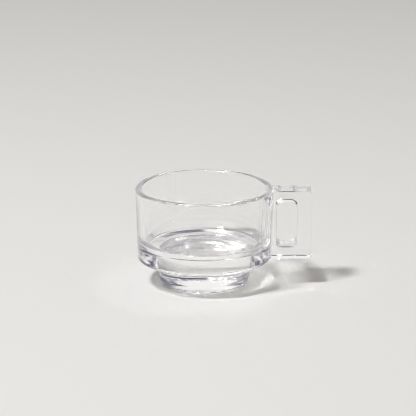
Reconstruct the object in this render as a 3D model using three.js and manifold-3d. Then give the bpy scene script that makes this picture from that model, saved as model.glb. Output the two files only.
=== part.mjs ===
// Espresso cup of clear pressed glass: a drum-shaped bowl on a narrower stacking foot, with a square
// loop handle whose top is level with the rim. Millimetres, +Z up. The cup stands on z = 0, and the
// origin is the middle of its footprint, halfway between the far side of the bowl and the handle's end.

import * as THREE from "three";
import { mergeVertices } from "three/addons/utils/BufferGeometryUtils.js";
import Module from "manifold-3d";

const wasm = await Module();
wasm.setup();

// Bowl
const rimDiameter = 70; // outside, at the lip
const height = 50.6; // table to lip
const wallDraft = 1.57; // degrees that the wall leans in towards the foot, so that it leaves its mould
const wallAtRim = 3.2;
const wallAtFloor = 2.9;
const lipRound = 1.55; // the lip is a full round, fire-polished
const shoulderRadius = 1.7; // where the wall turns under to the ledge
const floorThickness = 7.3; // glass between the ledge and the drink
const floorCornerRadius = 6.0; // inside, between the wall and the floor

// Foot
const ledgeHeight = 12.8; // underside of the bowl above the table, which seats on the cup below in a stack
const ledgeWidth = 10.4; // from the foot out to the wall
const footDraft = 1.0; // degrees that the foot leans in, from the ledge down to its belly
const bellyHeight = 5.0; // of the foot's belly above the table
const bellyRadius = 8.0; // of the curve round the belly
const footTaper = 14; // degrees that the foot leans in below its belly
const footEdgeRadius = 0.9;
const footFillet = 1.0; // between the foot and the ledge
const contactRing = 8.6; // width of the ring that the cup stands on
const hollowDepth = 1.4; // of the shallow hollow inside that ring
const hollowRound = 0.6;

// Handle
const handleReach = 19.85; // from the lip out to the handle's end
const handleDepth = 12.4; // across the handle, along Y
const handleDrop = 1.0; // the handle's top below the lip
const handleLift = 0.9; // the handle's underside above the ledge
const topArm = 6.3;
const bottomArm = 6.8;
const endBar = 7.45;
const rootRib = 1.9; // glass beyond the lip's radius that backs the finger gap
const fingerGapRadius = 3.0;
const handleCornerRadius = 1.8;
const handleEdgeRadius = 1.4;
const rootFlare = 1.2; // radius of the fillet where the handle spreads onto the wall
const seatGap = 0.3; // between the handle's curved root and the wall

// Fineness of the facets
const turnSegments = 72; // a multiple of 4, so that the widest points lie on the X and Y axes
const arcSag = 0.03; // how far a facet may lie inside its arc
const bevelSteps = 3;

const rimRadius = rimDiameter / 2;
const wallLean = Math.tan(THREE.MathUtils.degToRad(wallDraft));
const bowlRadiusAt = (z) => rimRadius - (height - z) * wallLean;
const ledgeRadius = bowlRadiusAt(ledgeHeight);
const footTopRadius = ledgeRadius - ledgeWidth;
const bellyAt = footTopRadius - (ledgeHeight - bellyHeight) * Math.tan(THREE.MathUtils.degToRad(footDraft));
const footBaseRadius = bellyAt - bellyHeight * Math.tan(THREE.MathUtils.degToRad(footTaper));
const floorHeight = ledgeHeight + floorThickness;

// A closed outline or an open profile whose corners [x, y, radius] are rounded by arcs.
function roundedPoints(corners, closed = false) {
  const points = [];
  corners.forEach(([x, y, radius = 0], i) => {
    const corner = new THREE.Vector2(x, y);
    const atEnd = !closed && (i === 0 || i === corners.length - 1);
    if (radius <= 0 || atEnd) {
      points.push(corner);
      return;
    }
    const neighbour = (k) => new THREE.Vector2(...corners.at((i + k) % corners.length).slice(0, 2));
    const back = neighbour(-1).sub(corner).normalize();
    const ahead = neighbour(1).sub(corner).normalize();
    const halfAngle = Math.acos(THREE.MathUtils.clamp(back.dot(ahead), -1, 1)) / 2;
    const centre = back.clone().add(ahead).setLength(radius / Math.sin(halfAngle)).add(corner);
    const start = back.clone().multiplyScalar(radius / Math.tan(halfAngle)).add(corner).sub(centre);
    const sweep = Math.PI - 2 * halfAngle;
    const turn = Math.sign(back.cross(ahead)) * -sweep;
    const steps = Math.max(2, Math.ceil(sweep / (2 * Math.acos(1 - arcSag / Math.max(radius, 2 * arcSag)))));
    for (let k = 0; k <= steps; k++) {
      points.push(start.clone().rotateAround(new THREE.Vector2(), (turn * k) / steps).add(centre));
    }
  });
  return points;
}

// A solid of revolution about +Z from a profile of radius and z that runs from axis to axis, anticlockwise.
function turned(profile) {
  return new THREE.LatheGeometry(profile, turnSegments).rotateX(Math.PI / 2);
}

// An outline drawn in x and z and given a depth along Y, centred, with its edges rounded.
function upright(outline, hole) {
  const shape = new THREE.Shape(roundedPoints(outline, true));
  shape.holes.push(new THREE.Path(roundedPoints(hole, true)));
  return new THREE.ExtrudeGeometry(shape, {
    depth: handleDepth - 2 * handleEdgeRadius,
    bevelSize: handleEdgeRadius,
    bevelThickness: handleEdgeRadius,
    bevelOffset: -handleEdgeRadius,
    bevelSegments: bevelSteps,
  })
    .translate(0, 0, handleEdgeRadius - handleDepth / 2)
    .rotateX(Math.PI / 2);
}

// Joining and cutting of closed geometries
function solidOf(geometry) {
  const bare = geometry.clone();
  bare.deleteAttribute("normal");
  bare.deleteAttribute("uv");
  const merged = mergeVertices(bare, 1e-4);
  return new wasm.Manifold(
    new wasm.Mesh({
      numProp: 3,
      vertProperties: merged.attributes.position.array,
      triVerts: new Uint32Array(merged.index.array),
    }),
  );
}

function geometryOf(solid) {
  const mesh = solid.getMesh();
  const geometry = new THREE.BufferGeometry();
  geometry.setAttribute("position", new THREE.BufferAttribute(mesh.vertProperties, 3));
  geometry.setIndex(new THREE.BufferAttribute(mesh.triVerts, 1));
  geometry.computeVertexNormals();
  return geometry;
}

// Bowl: the wall thickens from the lip to a heavy floor.
function bowlGeometry() {
  const lip = Math.min(lipRound, wallAtRim / 2 - arcSag);
  const profile = roundedPoints([
    [0, ledgeHeight],
    [ledgeRadius, ledgeHeight, shoulderRadius],
    [rimRadius, height, lip],
    [rimRadius - wallAtRim, height, lip],
    [bowlRadiusAt(floorHeight) - wallAtFloor, floorHeight, floorCornerRadius],
    [0, floorHeight],
  ]);
  return turned(profile);
}

// Foot: a solid drum of glass that spreads by a fillet into the ledge, hollowed a little underneath so
// that it stands on a ring.
function footGeometry() {
  const hollowRadius = footBaseRadius - contactRing;
  const profile = roundedPoints([
    [0, hollowDepth],
    [hollowRadius - hollowRound, hollowDepth, hollowRound],
    [hollowRadius, 0, hollowRound],
    [footBaseRadius, 0, footEdgeRadius],
    [bellyAt, bellyHeight, bellyRadius],
    [footTopRadius, ledgeHeight, footFillet],
    [ledgeRadius, ledgeHeight],
  ]);
  // The fillet runs out along the ledge, and from its end the top goes straight back to the axis.
  profile.at(-1).setX(0);
  return turned(profile);
}

// The bowl's outside grown by the seat gap and run up past the lip, which shapes the handle's root.
function seatGeometry() {
  const clearHeight = height + handleDepth;
  const profile = roundedPoints([
    [0, ledgeHeight - seatGap],
    [ledgeRadius + seatGap, ledgeHeight - seatGap, shoulderRadius + seatGap],
    [bowlRadiusAt(clearHeight) + seatGap, clearHeight],
    [0, clearHeight],
  ]);
  return turned(profile);
}

// Handle: a square loop with one finger gap, pressed with rounded edges. Its inner side is a rib that
// lies along the wall and flares onto it.
function handleGeometry() {
  const top = height - handleDrop;
  const bottom = ledgeHeight + handleLift;
  const end = rimRadius + handleReach;
  const inside = ledgeRadius - shoulderRadius - handleEdgeRadius;
  const gapStart = rimRadius + rootRib;
  const gapEnd = end - endBar;
  const loop = upright(
    [
      [inside, bottom],
      [end, bottom, handleCornerRadius],
      [end, top, handleCornerRadius],
      [inside, top],
    ],
    [
      [gapStart, bottom + bottomArm, fingerGapRadius],
      [gapStart, top - topArm, fingerGapRadius],
      [gapEnd, top - topArm, fingerGapRadius],
      [gapEnd, bottom + bottomArm, fingerGapRadius],
    ],
  );
  const seat = solidOf(seatGeometry());
  return geometryOf(solidOf(loop).add(solidOf(flareGeometry(bottom, top, inside))).subtract(seat));
}

// The flare on both sides of the handle's root: in plan an arc that runs off the handle's side and onto
// the wall, carried down the wall at the wall's own draft.
function flareGeometry(bottom, top, inside) {
  const half = handleDepth / 2;
  const wall = bowlRadiusAt(top);
  const centreY = half + rootFlare;
  const centreX = Math.sqrt((wall + rootFlare) ** 2 - centreY ** 2);
  const onWall = Math.atan2(centreY, centreX) - Math.PI;
  const plan = new THREE.Shape();
  plan.moveTo(inside, -centreY);
  plan.lineTo(centreX + rootFlare * Math.cos(onWall), -centreY - rootFlare * Math.sin(onWall));
  plan.absarc(centreX, -centreY, rootFlare, -onWall, Math.PI / 2, true);
  plan.absarc(centreX, centreY, rootFlare, -Math.PI / 2, onWall, true);
  plan.lineTo(inside, centreY);
  const lean = new THREE.Matrix4().makeShear(0, 0, 0, 0, wallLean, 0);
  return new THREE.ExtrudeGeometry(plan, { depth: top - bottom, bevelEnabled: false, curveSegments: 2 * bevelSteps })
    .translate(0, 0, bottom - top)
    .applyMatrix4(lean)
    .translate(0, 0, top);
}

// Colourless soda-lime glass
function clearGlass() {
  return new THREE.MeshStandardMaterial({
    color: 0xf1f3f4,
    roughness: 0.03,
    metalness: 0,
    transparent: true,
    opacity: 0.35,
  });
}

function piece(name, geometry) {
  const mesh = new THREE.Mesh(geometry, clearGlass());
  mesh.name = name;
  return mesh;
}

const cup = new THREE.Group();
cup.position.x = -handleReach / 2;
cup.add(piece("bowl", bowlGeometry()));
cup.add(piece("foot", footGeometry()));
cup.add(piece("handle", handleGeometry()));

const espressoCup = new THREE.Group();
espressoCup.add(cup);

export default espressoCup;
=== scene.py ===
import math
import bmesh
import bpy
from mathutils import Matrix, Vector


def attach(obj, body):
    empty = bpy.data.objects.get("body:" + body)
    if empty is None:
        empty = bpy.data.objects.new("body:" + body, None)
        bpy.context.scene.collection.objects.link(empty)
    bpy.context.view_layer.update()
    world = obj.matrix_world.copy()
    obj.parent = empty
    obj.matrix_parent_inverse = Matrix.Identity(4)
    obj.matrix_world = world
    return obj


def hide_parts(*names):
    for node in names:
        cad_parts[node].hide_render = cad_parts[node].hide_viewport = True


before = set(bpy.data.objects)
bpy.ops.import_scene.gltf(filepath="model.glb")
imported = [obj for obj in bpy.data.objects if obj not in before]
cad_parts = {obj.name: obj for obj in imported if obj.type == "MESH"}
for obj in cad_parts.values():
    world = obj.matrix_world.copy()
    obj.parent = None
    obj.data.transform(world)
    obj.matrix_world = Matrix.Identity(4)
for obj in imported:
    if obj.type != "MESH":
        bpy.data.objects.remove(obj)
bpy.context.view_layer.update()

# Bowl and foot: a drum with a drafted wall, a full-round lip and a heavy floor, and below its ledge the
# narrower stacking foot with a shallow hollow underneath. Clear soda-lime glass, pressed in one mould
# and fire-polished, so the two are one turned profile about the cup's axis. Sizes are in millimetres.
MM = 0.001
axis_x = -9.925
rim_radius = 35.0
cup_height = 50.6
lip_thickness = 3.2
lip_round = 1.55
ledge_radius = 33.96
ledge_height = 12.8
shoulder_round = 1.7
foot_top_radius = 23.56
foot_fillet = 1.0
belly_radius = 23.42
belly_height = 5.0
belly_round = 8.0
foot_radius = 22.18
foot_edge_round = 0.9
hollow_radius = 13.6
hollow_height = 1.02
hollow_step_width = 0.4
hollow_step_height = 0.58
hollow_step_round = 0.3
floor_height = 19.2
turn_segments = 256
points_per_corner = 12
weld_distance = 1e-6
# Radius, height and corner rounding, from the hollow's middle round the outside to the floor's middle
profile_corners = [
    # The hollow is a shallow dome with a small step at the ring that the cup stands on
    (0.0, hollow_height, 0.0),
    (5.0, 0.96, 30.0),
    (9.5, 0.80, 30.0),
    (hollow_radius - hollow_step_width, hollow_step_height, hollow_step_round),
    (hollow_radius, 0.0, hollow_step_round),
    # The foot swells to its belly and runs into the ledge by a fillet
    (foot_radius, 0.0, foot_edge_round),
    (belly_radius, belly_height, belly_round),
    (foot_top_radius, ledge_height, foot_fillet),
    # The wall leaves the ledge at the shoulder and ends in the lip
    (ledge_radius, ledge_height, shoulder_round),
    (rim_radius, cup_height, lip_round),
    (rim_radius - lip_thickness, cup_height, lip_round),
    # Inside, the wall leans in more and more as it goes down to the corner
    (31.5, 43.0, 60.0),
    (31.08, 35.0, 80.0),
    (30.7, 28.5, 40.0),
    (30.5, 24.3, 8.0),
    # The floor is dished a little
    (27.8, 20.0, 2.26),
    (22.5, 19.5, 24.0),
    (11.25, 19.29, 60.0),
    (0.0, floor_height, 0.0),
]


def add_node(tree, kind, inputs=(), **settings):
    """Adds a node: settings are its properties, inputs are pairs of a socket and a value or a source."""
    node = tree.nodes.new(kind)
    for name, value in settings.items():
        setattr(node, name, value)
    for socket, value in inputs:
        if isinstance(value, bpy.types.NodeSocket):
            tree.links.new(value, node.inputs[socket])
        else:
            node.inputs[socket].default_value = value
    return node


def linear(code):
    """A colour written as sRGB hex, as the linear values that a socket takes."""
    parts = [int(code[i:i + 2], 16) / 255 for i in (0, 2, 4)]
    return tuple(p / 12.92 if p <= 0.04045 else ((p + 0.055) / 1.055) ** 2.4 for p in parts)


# Clear soda-lime glass, colourless and smooth from the fire, so that the eye sees the table and the room
# bent in it
glass = bpy.data.materials.new("clear_soda_lime_glass")
glass.use_nodes = True
glass_tree = glass.node_tree
shader = glass_tree.nodes["Principled BSDF"]
shader.inputs["Base Color"].default_value = (*linear("FFFFFF"), 1)
shader.inputs["Transmission Weight"].default_value = 1.0
shader.inputs["Roughness"].default_value = 0.0
shader.inputs["IOR"].default_value = 1.52
place = add_node(glass_tree, "ShaderNodeTexCoord").outputs["Object"]
level = add_node(glass_tree, "ShaderNodeSeparateXYZ", [("Vector", place)]).outputs["Z"]
# Chill ripples: level waves, about 31 in 50 mm of height, that the cool mould leaves outside round the base
ripple_length = 200 / 9
ripple_spacing = 50 / 31
ripple_depth = 0.05
ripples_begin_height = 24.0
ripples_full_height = 19.0
ripples_begin_radius = 31.5
ripples_full_radius = 33.0
from_axis = add_node(glass_tree, "ShaderNodeVectorMath", [
    (0, place),
    (1, (-axis_x * MM, 0, 0)),
]).outputs[0]
across = add_node(glass_tree, "ShaderNodeVectorMath", [
    (0, from_axis),
    (1, (1, 1, 0)),
], operation="MULTIPLY").outputs[0]
radius = add_node(glass_tree, "ShaderNodeVectorMath", [(0, across)], operation="LENGTH").outputs["Value"]
ripple_place = add_node(glass_tree, "ShaderNodeMapping", [
    ("Vector", from_axis),
    ("Scale", (1 / (ripple_length * MM), 1 / (ripple_length * MM), 1 / (ripple_spacing * MM))),
])
ripples = add_node(glass_tree, "ShaderNodeTexNoise", [
    ("Vector", ripple_place.outputs[0]),
    ("Scale", 1.0),
    ("Detail", 1.0),
    ("Roughness", 0.5),
])
low_down = add_node(glass_tree, "ShaderNodeMapRange", [
    ("Value", level),
    ("From Min", ripples_begin_height * MM),
    ("From Max", ripples_full_height * MM),
])
outside = add_node(glass_tree, "ShaderNodeMapRange", [
    ("Value", radius),
    ("From Min", ripples_begin_radius * MM),
    ("From Max", ripples_full_radius * MM),
])
where_rippled = add_node(glass_tree, "ShaderNodeMath", [
    (0, low_down.outputs["Result"]),
    (1, outside.outputs["Result"]),
], operation="MULTIPLY")
ripple_height = add_node(glass_tree, "ShaderNodeMath", [
    (0, ripples.outputs["Fac"]),
    (1, where_rippled.outputs[0]),
], operation="MULTIPLY")
rippled = add_node(glass_tree, "ShaderNodeBump", [
    ("Strength", 1.0),
    ("Distance", ripple_depth * MM),
    ("Height", ripple_height.outputs[0]),
])
# The mould's grain on the ring that the cup stands on, drawn coarser than it is so that it shows
grain_size = 10 / 9
grain_depth = 0.12
grain_begin_height = 1.6
grain_full_height = 0.3
grain = add_node(glass_tree, "ShaderNodeTexVoronoi", [
    ("Vector", place),
    ("Scale", 1 / (grain_size * MM)),
])
near_table = add_node(glass_tree, "ShaderNodeMapRange", [
    ("Value", level),
    ("From Min", grain_begin_height * MM),
    ("From Max", grain_full_height * MM),
])
grain_height = add_node(glass_tree, "ShaderNodeMath", [
    (0, grain.outputs["Distance"]),
    (1, near_table.outputs["Result"]),
], operation="MULTIPLY")
grained = add_node(glass_tree, "ShaderNodeBump", [
    ("Strength", 1.0),
    ("Distance", grain_depth * MM),
    ("Height", grain_height.outputs[0]),
    ("Normal", rippled.outputs["Normal"]),
])
glass_tree.links.new(grained.outputs["Normal"], shader.inputs["Normal"])

# The turning rule: the profile's corners are filleted, and its points are set round the axis
turning = bpy.data.node_groups.new("turned_glass", "GeometryNodeTree")
face = turning.interface
face.new_socket("Profile", in_out="INPUT", socket_type="NodeSocketGeometry")
face.new_socket("Segments", in_out="INPUT", socket_type="NodeSocketInt")
face.new_socket("Points per corner", in_out="INPUT", socket_type="NodeSocketInt")
face.new_socket("Material", in_out="INPUT", socket_type="NodeSocketMaterial")
face.new_socket("Glass", in_out="OUTPUT", socket_type="NodeSocketGeometry")
given = add_node(turning, "NodeGroupInput").outputs
rounding = add_node(turning, "GeometryNodeInputNamedAttribute", [
    ("Name", "corner_radius"),
], data_type="FLOAT")
wire = add_node(turning, "GeometryNodeMeshToCurve", [("Mesh", given["Profile"])])
rounded = add_node(turning, "GeometryNodeFilletCurve", [
    ("Curve", wire.outputs["Curve"]),
    ("Count", given["Points per corner"]),
    ("Radius", rounding.outputs["Attribute"]),
    ("Limit Radius", True),
], mode="POLY")
drawn = add_node(turning, "GeometryNodeCurveToMesh", [("Curve", rounded.outputs["Curve"])])
count = add_node(turning, "GeometryNodeAttributeDomainSize", [("Geometry", drawn.outputs["Mesh"])])
columns = add_node(turning, "ShaderNodeMath", [(0, given["Segments"]), (1, 1.0)], operation="ADD")
sheet = add_node(turning, "GeometryNodeMeshGrid", [
    ("Vertices X", columns.outputs[0]),
    ("Vertices Y", count.outputs["Point Count"]),
])
index = add_node(turning, "GeometryNodeInputIndex")
step = add_node(turning, "ShaderNodeMath", [
    (0, index.outputs[0]),
    (1, count.outputs["Point Count"]),
], operation="DIVIDE")
column = add_node(turning, "ShaderNodeMath", [(0, step.outputs[0])], operation="FLOOR")
row = add_node(turning, "ShaderNodeMath", [
    (0, index.outputs[0]),
    (1, count.outputs["Point Count"]),
], operation="MODULO")
turn = add_node(turning, "ShaderNodeMath", [
    (0, column.outputs[0]),
    (1, given["Segments"]),
], operation="DIVIDE")
angle = add_node(turning, "ShaderNodeMath", [
    (0, turn.outputs[0]),
    (1, 2 * math.pi),
], operation="MULTIPLY")
profile_point = add_node(turning, "GeometryNodeSampleIndex", [
    ("Geometry", drawn.outputs["Mesh"]),
    ("Value", add_node(turning, "GeometryNodeInputPosition").outputs[0]),
    ("Index", row.outputs[0]),
], data_type="FLOAT_VECTOR")
spun = add_node(turning, "ShaderNodeVectorRotate", [
    ("Vector", profile_point.outputs["Value"]),
    ("Angle", angle.outputs[0]),
], rotation_type="Z_AXIS")
shaped = add_node(turning, "GeometryNodeSetPosition", [
    ("Geometry", sheet.outputs["Mesh"]),
    ("Position", spun.outputs["Vector"]),
])
closed = add_node(turning, "GeometryNodeMergeByDistance", [
    ("Geometry", shaped.outputs["Geometry"]),
    ("Distance", weld_distance),
])
real = add_node(turning, "GeometryNodeRealizeInstances", [("Geometry", closed.outputs["Geometry"])])
finished = add_node(turning, "GeometryNodeSetMaterial", [
    ("Geometry", real.outputs["Geometry"]),
    ("Material", given["Material"]),
])
add_node(turning, "NodeGroupOutput", [("Glass", finished.outputs["Geometry"])])


def made(name, data):
    """A new object of the scene."""
    thing = bpy.data.objects.new(name, data)
    bpy.context.scene.collection.objects.link(thing)
    return thing


def plain(thing):
    """The mesh of an object with its modifiers or its curve worked out."""
    return bpy.data.meshes.new_from_object(thing.evaluated_get(bpy.context.evaluated_depsgraph_get()))


def outward(mesh):
    """Welds a mesh and turns its faces to the outside."""
    work = bmesh.new()
    work.from_mesh(mesh)
    bmesh.ops.remove_doubles(work, verts=work.verts, dist=weld_distance)
    bmesh.ops.recalc_face_normals(work, faces=work.faces)
    work.to_mesh(mesh)
    work.free()


def turned(name, corners, segments, per_corner):
    """A closed solid turned about the Z axis from a profile of radius, height and rounding in mm."""
    profile = bpy.data.meshes.new(name)
    points = [(r * MM, 0.0, z * MM) for r, z, _ in corners]
    profile.from_pydata(points, [(i, i + 1) for i in range(len(points) - 1)], [])
    profile.attributes.new("corner_radius", "FLOAT", "POINT")
    profile.attributes["corner_radius"].data.foreach_set("value", [c[2] * MM for c in corners])
    thing = made(name, profile)
    rule = thing.modifiers.new("turning", "NODES")
    rule.node_group = turning
    sockets = {s.name: s.identifier for s in face.items_tree if s.in_out == "INPUT"}
    rule[sockets["Segments"]] = segments
    rule[sockets["Points per corner"]] = per_corner
    rule[sockets["Material"]] = glass
    mesh = plain(thing)
    thing.modifiers.remove(rule)
    thing.data = mesh
    outward(mesh)
    return thing


cup = turned("cup", profile_corners, turn_segments, points_per_corner)

# Handle: a square loop with one finger gap, its edges rounded, pressed together with the cup and of the
# same glass. Its inner side is a rib along the wall, which it joins with a flare.
handle_end = 54.85
handle_top = 49.6
handle_bottom = 13.7
gap_left = 36.9
gap_right = 47.4
gap_bottom = 20.5
gap_top = 43.3
gap_radius = 3.0
outer_radius = 1.8
half_depth = 6.2
edge_radius = 0.8
edge_steps = 5
corner_steps = 7
flare_radius = 1.2
flare_steps = 8
loop_inside = 20.0
flare_inside = 30.0
core_segments = 128
flat_angle = 0.2
sharp_angle = 40
# The root is cut off inside the wall, below the lip and above the ledge, so that the inside stays plain
core_corners = [
    (0.0, 5.0, 0.0),
    (28.0, 5.0, 0.0),
    (28.0, 17.0, 0.0),
    (32.7, 19.0, 0.0),
    (33.5, 60.0, 0.0),
    (0.0, 60.0, 0.0),
]


def frame_outline(left, bottom, right, top, radius_left, radius_right):
    """A rectangle with rounded corners as points in millimetres, anticlockwise from the lower left."""
    points = []
    for x, z, corner_radius, start in (
        (left, bottom, radius_left, 180),
        (right, bottom, radius_right, 270),
        (right, top, radius_right, 0),
        (left, top, radius_left, 90),
    ):
        middle_x = x + (corner_radius if x == left else -corner_radius)
        middle_z = z + (corner_radius if z == bottom else -corner_radius)
        for k in range(corner_steps + 1 if corner_radius else 1):
            at = math.radians(start + 90 * k / corner_steps)
            x_on_arc = middle_x + corner_radius * math.cos(at)
            z_on_arc = middle_z + corner_radius * math.sin(at)
            points.append((x_on_arc, z_on_arc))
    return points


loop = bpy.data.curves.new("handle", "CURVE")
loop.dimensions = "2D"
loop.fill_mode = "BOTH"
loop.extrude = (half_depth - edge_radius) * MM
loop.bevel_depth = edge_radius * MM
loop.bevel_resolution = edge_steps
loop.offset = -edge_radius * MM
for outline in (
    frame_outline(loop_inside, handle_bottom, handle_end, handle_top, 0.0, outer_radius),
    frame_outline(gap_left, gap_bottom, gap_right, gap_top, gap_radius, gap_radius),
):
    spline = loop.splines.new("POLY")
    spline.points.add(len(outline) - 1)
    for point, (x, z) in zip(spline.points, outline):
        point.co = (x * MM, z * MM, 0, 1)
    spline.use_cyclic_u = True
sketch = made("handle_sketch", loop)
loop_mesh = plain(sketch)
bpy.data.objects.remove(sketch)
loop_mesh.transform(Matrix.Rotation(math.pi / 2, 4, "X"))
outward(loop_mesh)
# The flat sides are made single faces, so that they stay flat when they are shaded
sides = bmesh.new()
sides.from_mesh(loop_mesh)
bmesh.ops.dissolve_limit(sides, angle_limit=math.radians(flat_angle), verts=sides.verts, edges=sides.edges)
sides.to_mesh(loop_mesh)
sides.free()
handle = made("handle", loop_mesh)

# The flare: in plan an arc that runs off each side of the handle and onto the wall, carried down the
# wall at the wall's own draft
wall_lean = (rim_radius - ledge_radius) / (cup_height - ledge_height)
wall_at_top = rim_radius - (cup_height - handle_top) * wall_lean
centre_y = half_depth + flare_radius
centre_x = math.sqrt((wall_at_top + flare_radius) ** 2 - centre_y ** 2)
arc = []
for k in range(flare_steps + 1):
    at = -math.pi / 2 - k / flare_steps * (math.pi / 2 - math.atan2(centre_y, centre_x))
    arc.append((centre_x + flare_radius * math.cos(at), centre_y + flare_radius * math.sin(at)))
half_plan = [(flare_inside, centre_y), *reversed(arc)]
plan = half_plan + [(x, -y) for x, y in reversed(half_plan)]
flare_work = bmesh.new()
ends = []
for z in (handle_bottom + edge_radius, handle_top - edge_radius):
    shift = (handle_top - z) * wall_lean
    ends.append([flare_work.verts.new(((x - shift) * MM, y * MM, z * MM)) for x, y in plan])
for i in range(len(plan)):
    j = (i + 1) % len(plan)
    flare_work.faces.new((ends[0][i], ends[0][j], ends[1][j], ends[1][i]))
flare_work.faces.new(ends[0])
flare_work.faces.new(ends[1])
bmesh.ops.recalc_face_normals(flare_work, faces=flare_work.faces)
flare_mesh = bpy.data.meshes.new("flare")
flare_work.to_mesh(flare_mesh)
flare_work.free()
flare = made("flare", flare_mesh)


def combine(thing, other, operation):
    """Joins or cuts a solid with another, which is used up."""
    change = thing.modifiers.new("change", "BOOLEAN")
    change.operation = operation
    change.object = other
    change.solver = "EXACT"
    mesh = plain(thing)
    thing.modifiers.remove(change)
    thing.data = mesh
    bpy.data.objects.remove(other)


combine(handle, flare, "UNION")
combine(handle, turned("core", core_corners, core_segments, 1), "DIFFERENCE")
combine(cup, handle, "UNION")
cup.data.transform(Matrix.Translation((axis_x * MM, 0, 0)))
for polygon in cup.data.polygons:
    polygon.use_smooth = True
cup.data.set_sharp_from_angle(angle=math.radians(sharp_angle))
# The flats keep their own normals up to the rounded edges, so that they do not act as lenses
even = cup.modifiers.new("even", "WEIGHTED_NORMAL")
even.mode = "FACE_AREA"
even.keep_sharp = True
cup.data = plain(cup)
cup.modifiers.remove(even)
cup.data.materials.clear()
cup.data.materials.append(glass)
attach(cup, "root")
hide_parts("bowl", "foot", "handle")

# Studio: a pale matt table that the cup stands on, one soft lamp high at the left in front, and round
# about a plain room that only the glass sees, bright behind and dark in front. Sizes are in metres.
table_reach = 6
table_level = -3e-5  # a hair below the foot, so that glass and table share no face
table_mesh = bpy.data.meshes.new("table")
table_corners = [(-1, -1), (1, -1), (1, 1), (-1, 1)]
table_mesh.from_pydata(
    [(x * table_reach, y * table_reach, table_level) for x, y in table_corners], [], [(0, 1, 2, 3)],
)
table = made("table", table_mesh)
# Matt laminate, a warm off-white with no gloss
laminate = bpy.data.materials.new("matt_laminate")
laminate.use_nodes = True
shader = laminate.node_tree.nodes["Principled BSDF"]
shader.inputs["Base Color"].default_value = (*linear("DBDAD7"), 1)
shader.inputs["Roughness"].default_value = 0.7
shader.inputs["Specular IOR Level"].default_value = 0.2
table_mesh.materials.append(laminate)

room = bpy.data.worlds.new("room")
room.use_nodes = True
bpy.context.scene.world = room
room_tree = room.node_tree
where = add_node(room_tree, "ShaderNodeTexCoord").outputs["Generated"]
# The dark of the room, a little violet
seen = add_node(room_tree, "ShaderNodeRGB").outputs[0]
seen.default_value = (0.02, 0.018, 0.06, 1)
# The two colours of a Mix node and their mixture, by their places among its sockets
first_colour = 6
second_colour = 7
mixture = 2
# For each lit side of the room its direction, the cosines at which it begins and is full, and its light:
# the backdrop's dim edge, the backdrop, and a window high at the left in front
for direction, begin, full, light in (
    ((-0.1, 0.98, 0.1), 0.35, 0.75, (0.12, 0.11, 0.18, 1)),
    ((-0.1, 0.98, 0.1), 0.62, 0.90, (0.88, 0.87, 0.86, 1)),
    ((-0.45, -0.38, 0.81), 0.84, 0.95, (1.0, 0.97, 0.95, 1)),
):
    along = add_node(room_tree, "ShaderNodeVectorMath", [
        (0, where),
        (1, direction),
    ], operation="DOT_PRODUCT")
    share = add_node(room_tree, "ShaderNodeMapRange", [
        ("Value", along.outputs["Value"]),
        ("From Min", begin),
        ("From Max", full),
    ], interpolation_type="SMOOTHSTEP")
    seen = add_node(room_tree, "ShaderNodeMix", [
        ("Factor", share.outputs["Result"]),
        (first_colour, seen),
        (second_colour, light),
    ], data_type="RGBA").outputs[mixture]
# Matt surfaces take an even light from the room instead
path = add_node(room_tree, "ShaderNodeLightPath")
felt = add_node(room_tree, "ShaderNodeMix", [
    ("Factor", path.outputs["Is Diffuse Ray"]),
    (first_colour, seen),
    (second_colour, (0.26, 0.26, 0.26, 1)),
], data_type="RGBA")
room_tree.links.new(felt.outputs[mixture], room_tree.nodes["Background"].inputs["Color"])

key = bpy.data.lights.new("key", "AREA")
key.shape = "RECTANGLE"
key.size = 0.5
key.size_y = 0.5
key.energy = 21.5
key.spread = math.radians(90)
key_lamp = made("key", key)
key_lamp.location = (-1.25, -0.97, 2.78)
key_lamp.rotation_mode = "QUATERNION"
key_lamp.rotation_quaternion = (-Vector(key_lamp.location)).to_track_quat("-Z", "Y")

# Camera: a long lens about 16 degrees above the table, square to the handle and aimed just right of the
# cup's axis
lens = bpy.data.cameras.new("camera")
lens.sensor_width = 36
lens.lens = 203.64
lens.clip_end = 100
camera = made("camera", lens)
elevation = math.radians(15.8)
camera_distance = 1.2
aim_beside_axis = 2.04
aim_height = 39.19
aim = Vector(((axis_x + aim_beside_axis) * MM, 0, aim_height * MM))
back = Vector((0, -math.cos(elevation), math.sin(elevation)))
camera.location = aim + camera_distance * back
camera.rotation_mode = "QUATERNION"
camera.rotation_quaternion = (-back).to_track_quat("-Z", "Y")
bpy.context.scene.camera = camera

# Light passes many glass faces before it leaves the cup, so its paths are long and unclamped
scene = bpy.context.scene
path_length = 96
scene.view_settings.view_transform = "Standard"
scene.cycles.max_bounces = path_length
scene.cycles.transmission_bounces = path_length
scene.cycles.glossy_bounces = path_length
scene.cycles.sample_clamp_indirect = 0
scene.cycles.use_guiding = True
scene.cycles.blur_glossy = 0
scene.cycles.filter_width = 1.0
